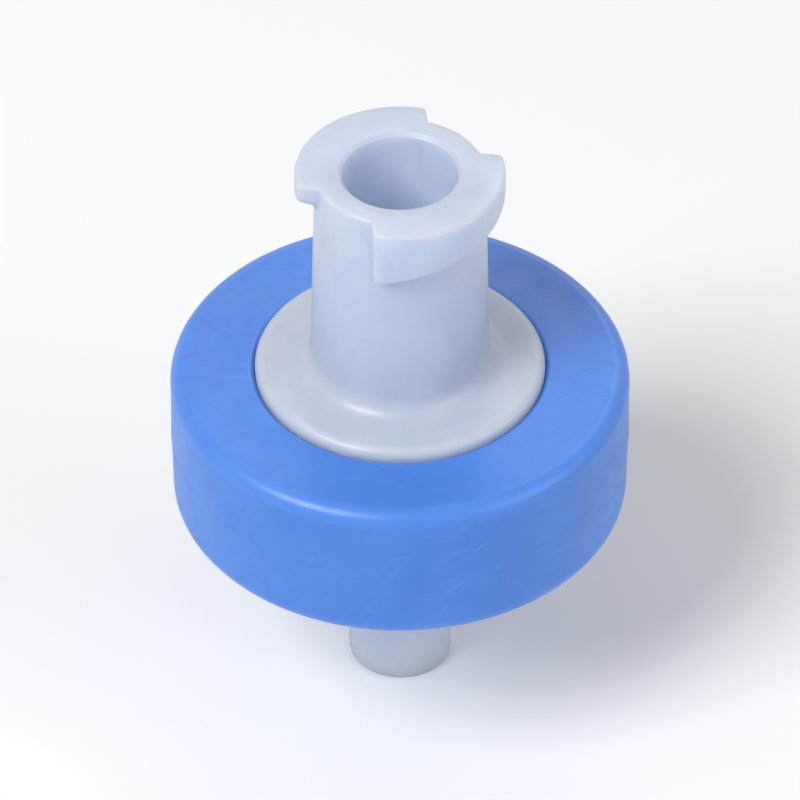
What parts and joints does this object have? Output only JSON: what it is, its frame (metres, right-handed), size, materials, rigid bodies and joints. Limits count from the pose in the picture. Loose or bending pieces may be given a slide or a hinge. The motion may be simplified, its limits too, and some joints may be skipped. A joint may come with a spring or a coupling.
{
  "type": "syringe filter",
  "caption": "Small round syringe filter: a thin membrane pinched between plastic housings inside a thick overmoulded ring, with a female Luer lock inlet hub and a male Luer slip outlet tip.",
  "frame": {"origin": "centre of the outlet tip's end face, at the bottom of the part", "axes": "+Z along the filter's axis, from the outlet tip to the inlet hub; +X and +Y across it, with the gaps between the hub's lugs towards +X +Y and -X -Y"},
  "size_m": [0.0176, 0.0176, 0.024],
  "materials": {
    "natural_polypropylene": "natural polypropylene, milky and translucent, satin as moulded",
    "blue_polypropylene": "mid-blue polypropylene, smooth, with a soft gloss",
    "membrane": "white microporous PVDF film, matt"
  },
  "bodies": {
    "root": {"inlet_housing": "natural_polypropylene", "outlet_housing": "natural_polypropylene", "membrane": "membrane", "overmould_ring": "blue_polypropylene"}
  },
  "joints": []
}
